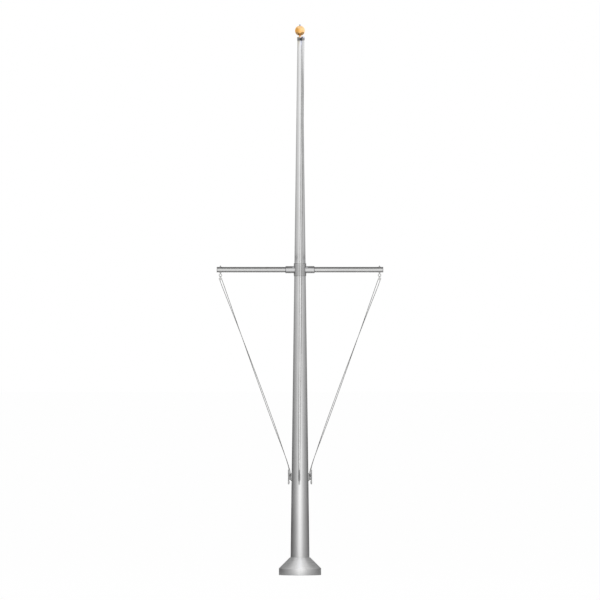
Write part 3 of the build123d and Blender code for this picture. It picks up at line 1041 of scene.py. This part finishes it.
def makeAcornNut():
    shape = acorn
    seat, corner = shape["seat"], shape["flats"] / math.sqrt(3)
    flat = shape["flats"] / 2
    hexTop, top = seat + shape["hex"], seat + shape["hex"] + shape["dome"]
    sweep = (flat ** 2 + shape["dome"] ** 2) / (2 * shape["dome"])
    dome = []
    for step in range(13):
        height = hexTop + shape["dome"] * step / 12
        dome.append((math.sqrt(max(sweep ** 2 - (height - top + sweep) ** 2, 1e-8)), height))
    blank = turned("acornNut", [
        (shape["bore"], seat + shape["boreDepth"]), (shape["bore"], seat),
        (flat + 0.0002, seat), (corner, seat + 0.001), (corner, hexTop - 0.001),
        (flat + 0.0001, hexTop), *dome[1:],
    ], around=72)
    prism = bevelEdges(makeRod("prism", 6, corner, 0.06, (0, 0, seat + 0.02)), 0.0003, 2)
    fuse(blank, [prism], "INTERSECT")
    return cleanUp(blank, 25)


finish(makeTruckBody(), truckMetal, "truck", "polished_metal", "truck_body")
wheel = makeSheave("truckSheave", truckPitch, truck["pinRadius"])
wheel.rotation_euler = truckOut.to_track_quat("Z", "Y").to_euler()
wheel.location = truckAxle
settle(wheel)
finish(wheel, nylon, "truck_wheel", "sheave_nylon", "truck_sheave")
finish(makeBall(), goldMetal, "truck", "gold_anodised", "ball")
finish(makeAcornNut(), steelMetal, "truck", "stainless", "ball_nut")
for angle in truck["screwAngles"]:
    where = spoke(angle) * truck["screwCircle"] + Vector((0, 0, truckTop))
    capScrew = makeSetScrew("truckCapScrew", where, (0, 0, 1))
    finish(capScrew, steelMetal, "truck", "stainless")
print("truck and ball made")

# Cleats

cleatShape = {"height": 1.398, "length": 0.211, "reach": 0.044, "bar": 0.0075, "tip": 0.0055,
              "tipLift": 0.003, "deepFrom": 0.048, "deepRun": 0.02, "deepen": 1.7,
              "leg": 0.0075, "spread": 0.03, "foot": 0.0105, "padLength": 0.112,
              "padWidth": 0.032, "padThick": 0.008, "screwSpread": 0.0485}


def makeHorns(wall):
    shape = cleatShape
    middle, half = wall + shape["reach"], shape["length"] / 2 - shape["tip"]
    rounding = arcRings((0, half), shape["tip"], math.radians(6), math.radians(78), 4)
    end = [*rounding, (0.0006, half + shape["tip"])]
    steps = 24
    bar = []
    for step in range(steps + 1):
        share = -1 + 2 * step / steps
        bar.append((shape["bar"] + (shape["tip"] - shape["bar"]) * share ** 2, share * half))
    start = [(radius, -height) for radius, height in reversed(end)]
    horns = turned("horns", [*start, *bar, *end], around=32)
    for vertex in horns.data.vertices:  # past the legs the horns are deeper towards the mast
        past = min(max((abs(vertex.co.z) - shape["deepFrom"]) / shape["deepRun"], 0), 1)
        if vertex.co.x < 0:
            vertex.co.x *= 1 + shape["deepen"] * past * past * (3 - 2 * past)
        vertex.co.x += middle + shape["tipLift"] * (vertex.co.z / half) ** 2
    return horns


def makePad(wall):
    shape = cleatShape
    halfWidth, depth = shape["padWidth"] / 2, 2 * shape["padThick"]
    pad = makeRod("pad", 66, halfWidth, depth, (wall, 0, 0), (0, 90, 0))
    stretch = shape["padLength"] / 2 - shape["padWidth"] / 2
    for vertex in pad.data.vertices:
        vertex.co.z += stretch if vertex.co.z > 0 else -stretch
    return bevelEdges(pad, 0.0022, 3)


def makeLeg(wall, side):
    shape = cleatShape
    rings = roundedRings([
        (shape["foot"] + 0.001, wall, 0),
        (shape["foot"], wall + shape["padThick"], 0.003),
        (shape["leg"], wall + shape["padThick"] + 0.004, 0.003),
        (shape["leg"], wall + shape["reach"], 0),
    ])
    leg = turned("leg", rings, around=32)
    return place(leg, (0, 0, side * shape["spread"]), (0, 90, 0))


def makeCleat():
    shape = cleatShape
    wall = mastRadius(shape["height"])
    parts = [makeHorns(wall), makePad(wall), makeLeg(wall, 1), makeLeg(wall, -1)]
    cleat = joinPieces(parts, "cleatRight")
    applyModifier(cleat, "REMESH", mode="VOXEL", voxel_size=0.0011)
    applyModifier(cleat, "SMOOTH", iterations=6, factor=0.5)
    place(cleat, (0, 0, shape["height"]))
    half = shape["length"] / 2
    low, high = shape["height"] - half, shape["height"] + half
    tube = turned("mastPart", [(mastRadius(low), low), (mastRadius(high), high)], around=256)
    fuse(cleat, [tube], "DIFFERENCE")
    return cleanUp(cleat, 40)


padScrew = {"shank": 0.004, "sink": 0.0001, "head": 0.0058, "edge": 0.001, "shoulder": 0.0038,
            "shoulderTop": 0.0034, "top": 0.0036, "key": 0.0023, "keyFoot": 0.0015}


def makePadScrew(name, wall, side):  # domed head with a key hole
    shape = padScrew
    head = turned(name, roundedRings([
        (shape["shank"], -shape["shank"], 0),
        (shape["shank"], -shape["sink"], 0),
        (shape["head"], -shape["sink"], 0.0002),
        (shape["head"], shape["edge"], 0.0008),
        (shape["shoulder"], shape["shoulderTop"], 0.002),
        (0.0008, shape["top"], 0),
    ]), around=40)
    key = makeRod("key", 6, shape["key"], 0.005, (0, 0, shape["keyFoot"] + 0.0025))
    cleanUp(fuse(head, [key], "DIFFERENCE"))
    height = cleatShape["height"] + side * cleatShape["screwSpread"]
    return place(head, (wall + cleatShape["padThick"], 0, height), (0, 90, 0))


cleat = makeCleat()
cleatWall = mastRadius(cleatShape["height"])
padScrews = [
    makePadScrew("cleatScrewTop", cleatWall, 1), makePadScrew("cleatScrewBottom", cleatWall, -1),
]
for side, angle in (("Left", 180), ("Front", frontAngle), ("Right", 0)):
    body = cleat if side == "Right" else copyOf(cleat, "cleat" + side)
    place(body, (0, 0, 0), (0, 0, angle))
    finish(body, castSkin, "root", "cast_aluminium", "cleat_" + side.lower())
    for piece in padScrews:
        part = piece if side == "Right" else copyOf(piece, piece.name + side)
        place(part, (0, 0, 0), (0, 0, angle))
        finish(part, steelMetal, "root", "stainless")
print("cleats made")

# Finishes of the CAD pieces that stay

plainNodes = [
    ("base_flange", castSkin),
    ("truck_spindle", steelMetal),
    ("truck_pin", steelMetal),
    ("ball_stem", steelMetal),
]
for side in ("left", "right"):
    for piece in ("eye_nut_top_", "eye_nut_bottom_", "block_pin_"):
        plainNodes.append((piece + side, steelMetal))
for name, material in plainNodes:
    nodes[name].data.materials.clear()
    nodes[name].data.materials.append(material)


# Camera

camera = bpy.data.objects.new("camera", bpy.data.cameras.new("camera"))
bpy.context.scene.collection.objects.link(camera)
bpy.context.scene.camera = camera
camera.location = (0, -150, 3.924)
camera.rotation_euler = (math.radians(90), 0, 0)
camera.data.lens = 630.7
camera.data.clip_end = 2000

# Surroundings

surround = {
    "diffuseLight": 0.75,
    "floorWhite": 0.97,
    "tentRadius": 8,
    "tentTop": 14,
    "tentMiddle": 4.6,
    "tentFront": (1.14, 0.35),  # at the middle, and how much more 4 m away from it
    "tentSide": (0.09, 0.82),  # at the ground and 8 m up
    "tentFade": (7.6, 11.0),
    "roofEdge": 0.5,
    "tentTurn": [
        (0, 1), (0.012, 0.85), (0.05, 0.6), (0.11, 0.42), (0.19, 0.33), (0.3, 0.22),
        (0.45, 0.13), (0.6, 0.05), (0.8, 0), (0.975, 0), (1, 0.6),
    ],
    "tentBack": [(0, 1), (0.62, 1), (0.88, 0.6), (1, 0.6)],
    "roofTurn": [(0, 1.0), (0.1, 0.8), (0.25, 0.5), (0.6, 0.3), (1, 0.2)],
    "roofLight": 2.4,
}
truckRing = {
    "reach": 0.11,
    "low": 7.628,
    "high": 7.668,
    "turn": [(0, 0.6), (0.12, 0.35), (0.4, 0.28), (0.6, 0.14), (0.7, 0.02), (0.86, 0.02), (1, 0.7)],
}
ballRing = {
    "reach": 0.45,
    "low": 7.62,
    "high": 8.25,
    "turn": [
        (0, (0.66, 0.6, 0.42)), (0.2, (0.86, 0.78, 0.6)), (0.4, (1.02, 0.98, 0.88)),
        (0.55, (1.14, 1.16, 1.24)), (0.7, (1.22, 1.28, 1.6)), (1, (1.22, 1.3, 1.7)),
    ],
}


def makeWorld():  # white behind the object and in its reflections, pale grey for diffuse light
    world = bpy.data.worlds.new("studio")
    bpy.context.scene.world = world
    world.use_nodes = True
    tree = world.node_tree
    tree.nodes.clear()
    output = addNode(tree, "OutputWorld")
    seen = addNode(tree, "Background", Color=tone(1))
    lit = addNode(tree, "Background", Color=tone(1), Strength=surround["diffuseLight"])
    rays = addNode(tree, "LightPath")
    mirrors = addNode(tree, "Math", "MAXIMUM")
    seenBy = addNode(tree, "Math", "MAXIMUM")
    choose = addNode(tree, "MixShader")
    link(tree, rays, "Is Glossy Ray", mirrors, 0)
    link(tree, rays, "Is Transmission Ray", mirrors, 1)
    link(tree, rays, "Is Camera Ray", seenBy, 0)
    link(tree, mirrors, "Value", seenBy, 1)
    link(tree, seenBy, "Value", choose, 0)
    link(tree, lit, "Background", choose, 1)
    link(tree, seen, "Background", choose, 2)
    link(tree, choose, "Shader", output, "Surface")


def makeFloor():  # pale plane that keeps the soft shadow and looks as white as the background
    clearSelection()
    bpy.ops.mesh.primitive_plane_add(size=600, location=(0, 0, -0.002))
    floor = nameActive("floor")
    material, tree, shader = startMaterial("paleFloor", 1.0, 0.0)
    setInputs(shader, Base_Color=tone(0.95), Specular_IOR_Level=0.0)
    white = addNode(tree, "Emission")
    rays = addNode(tree, "LightPath")
    seen = addNode(tree, "Math", "MAXIMUM")
    share = addNode(tree, "Math", "MULTIPLY")
    share.inputs[1].default_value = surround["floorWhite"]
    mix = addNode(tree, "MixShader")
    link(tree, rays, "Is Camera Ray", seen, 0)
    link(tree, rays, "Is Glossy Ray", seen, 1)
    link(tree, seen, "Value", share, 0)
    link(tree, share, "Value", mix, 0)
    link(tree, shader, "BSDF", mix, 1)
    link(tree, white, "Emission", mix, 2)
    link(tree, mix, "Shader", tree.nodes["Material Output"], "Surface")
    floor.data.materials.append(material)
    return floor


def onlyReflected(piece):
    piece.visible_camera = False
    piece.visible_diffuse = False
    piece.visible_shadow = False
    piece.visible_transmission = False
    return piece


def glowMaterial(name):
    material = bpy.data.materials.new(name)
    material.use_nodes = True
    tree = material.node_tree
    tree.nodes.remove(tree.nodes["Principled BSDF"])
    glow = addNode(tree, "Emission")
    link(tree, glow, "Emission", tree.nodes["Material Output"], "Surface")
    return material, tree, glow


def addRamp(tree, stops):
    ramp = addNode(tree, "ValToRGB")
    elements = ramp.color_ramp.elements
    while len(elements) < len(stops):
        elements.new(1.0)
    for element, (where, level) in zip(elements, stops):
        element.position = where
        element.color = tone(level)
    return ramp


def addMath(tree, operation, first, second):
    node = addNode(tree, "Math", operation)
    for index, value in enumerate((first, second)):
        if isinstance(value, (int, float)):
            node.inputs[index].default_value = value
        else:
            tree.links.new(value, node.inputs[index])
    return node.outputs["Value"]


def addSpread(tree, value, fromLow, fromHigh, toLow, toHigh):
    spread = addNode(
        tree, "MapRange", From_Min=fromLow, From_Max=fromHigh, To_Min=toLow, To_Max=toHigh
    )
    tree.links.new(value, spread.inputs["Value"])
    return spread.outputs["Result"]


def splitPlace(tree):
    where = addNode(tree, "TexCoord")
    split = addNode(tree, "SeparateXYZ")
    link(tree, where, "Object", split, 0)
    return split.outputs


def makePaperTube(name, around, reach, low, high):
    clearSelection()
    bpy.ops.mesh.primitive_cylinder_add(
        vertices=around, radius=reach, depth=high - low, location=(0, 0, (low + high) / 2),
        end_fill_type="NOTHING",
    )
    return onlyReflected(settle(nameActive(name)))


def makeTent():
    # Round paper tent seen only in reflections: bright in front and behind, grey at the sides,
    # and darker towards the ground
    reach, top = surround["tentRadius"], surround["tentTop"]
    tent = makePaperTube("tentWall", 96, reach, -1, top)
    material, tree, glow = glowMaterial("tentPaper")
    where = splitPlace(tree)
    turn = addSpread(tree, where["Y"], -reach, reach, 0, 1)
    ramp = addRamp(tree, surround["tentTurn"])
    tree.links.new(turn, ramp.inputs[0])
    back = addRamp(tree, surround["tentBack"])
    tree.links.new(turn, back.inputs[0])
    grey = addSpread(tree, where["Z"], 0, 8, *surround["tentSide"])
    side = addMath(tree, "MULTIPLY", grey, back.outputs["Color"])
    middle, more = surround["tentFront"]
    away = addMath(tree, "SUBTRACT", where["Z"], surround["tentMiddle"])
    fromMiddle = addMath(tree, "DIVIDE", away, 4.0)
    rise = addMath(tree, "MULTIPLY", addMath(tree, "MULTIPLY", fromMiddle, fromMiddle), more)
    rest = addMath(tree, "SUBTRACT", addMath(tree, "ADD", rise, middle), side)
    lit = addMath(tree, "ADD", addMath(tree, "MULTIPLY", rest, ramp.outputs["Color"]), side)
    fade = addSpread(tree, where["Z"], *surround["tentFade"], 1, 0)
    above = addMath(tree, "MULTIPLY", addMath(tree, "SUBTRACT", 1.0, fade), surround["roofEdge"])
    level = addMath(tree, "ADD", addMath(tree, "MULTIPLY", lit, fade), above)
    tree.links.new(level, glow.inputs["Strength"])
    tent.data.materials.append(material)
    return tent


def makeRoof():  # grey roof of the tent with a bright middle
    reach, top = surround["tentRadius"], surround["tentTop"]
    clearSelection()
    bpy.ops.mesh.primitive_circle_add(
        vertices=96, radius=reach, fill_type="NGON", location=(0, 0, top)
    )
    roof = onlyReflected(settle(nameActive("tentRoof")))
    material, tree, glow = glowMaterial("roofPaper")
    where = addNode(tree, "TexCoord")
    flat = addNode(tree, "VectorMath", "MULTIPLY")
    flat.inputs[1].default_value = (1 / reach, 1 / reach, 0)
    length = addNode(tree, "VectorMath", "LENGTH")
    ramp = addRamp(tree, surround["roofTurn"])
    link(tree, where, "Object", flat, 0)
    link(tree, flat, "Vector", length, 0)
    link(tree, length, "Value", ramp, 0)
    level = addMath(tree, "MULTIPLY", ramp.outputs["Color"], surround["roofLight"])
    tree.links.new(level, glow.inputs["Strength"])
    roof.data.materials.append(material)
    return roof


def makeRing(name, ring):  # band whose light changes from left to right
    reach = ring["reach"]
    band = makePaperTube(name, 64, reach, ring["low"], ring["high"])
    material, tree, glow = glowMaterial(name + "Paper")
    across = addSpread(tree, splitPlace(tree)["X"], -reach, reach, 0, 1)
    ramp = addRamp(tree, ring["turn"])
    tree.links.new(across, ramp.inputs[0])
    link(tree, ramp, "Color", glow, "Color")
    band.data.materials.append(material)
    return band


def makeCard(name, low, high, level, tint=1):  # flat card, seen only in reflections
    card = onlyReflected(boxBetween(name, low, high))
    material, tree, glow = glowMaterial(name)
    setInputs(glow, Color=tone(tint), Strength=level)
    card.data.materials.append(material)
    return card


def makeLamp(name, where, aim, size, power):
    data = bpy.data.lights.new(name, "AREA")
    data.shape = "RECTANGLE"
    data.size, data.size_y = size
    data.energy = power
    lamp = bpy.data.objects.new(name, data)
    bpy.context.scene.collection.objects.link(lamp)
    lamp.location = where
    lamp.rotation_euler = (Vector(aim) - Vector(where)).to_track_quat("-Z", "Y").to_euler()
    return lamp


makeWorld()
floor = makeFloor()
reflectors = [
    makeTent(),
    makeRoof(),
    makeRing("truckRing", truckRing),
    makeRing("ballRing", ballRing),
    makeCard("flagTopLeft", (-1.35, -0.2, 4.55), (-0.1, 0.15, 4.555), 0.2),
    makeCard("flagTopRight", (0.1, -0.2, 4.55), (1.35, 0.15, 4.555), 0.2),
    makeCard("flagLow", (-2.0, -2.6, 0.001), (2.0, 5.0, 0.002), 0.3),
    makeCard("flagLowLeft", (-8.0, -4.0, 0.001), (-2.0, 5.0, 0.002), 0.06),
    makeCard("flagLowRight", (2.0, -4.0, 0.001), (8.0, 5.0, 0.002), 0.35),
    makeCard("ballLid", (-0.45, -0.45, 8.25), (0.45, 0.45, 8.255), 1.0, (0.95, 1.08, 1.4)),
    makeCard("flagConeLeft", (-1.2, 0.0, 1.0), (-0.45, 1.7, 1.01), 0.3),
    makeCard("flagConeRight", (0.45, 0.0, 1.0), (1.2, 1.7, 1.01), 0.3),
    makeCard("flagCollarLeft", (-0.205, 0.06, 4.26), (-0.2, 0.35, 4.455), 0.12),
    makeCard("flagCollarRight", (0.2, 0.06, 4.26), (0.205, 0.35, 4.455), 0.12),
]
lamps = [
    makeLamp("keyLamp", (-6, -9, 10), (0, 0, 4), (5, 7), 260),
    makeLamp("fillLamp", (7, -8, 6), (0, 0, 4), (5, 7), 120),
]
for lamp in lamps:
    lamp.visible_glossy = False
bpy.context.scene.view_settings.view_transform = "Standard"
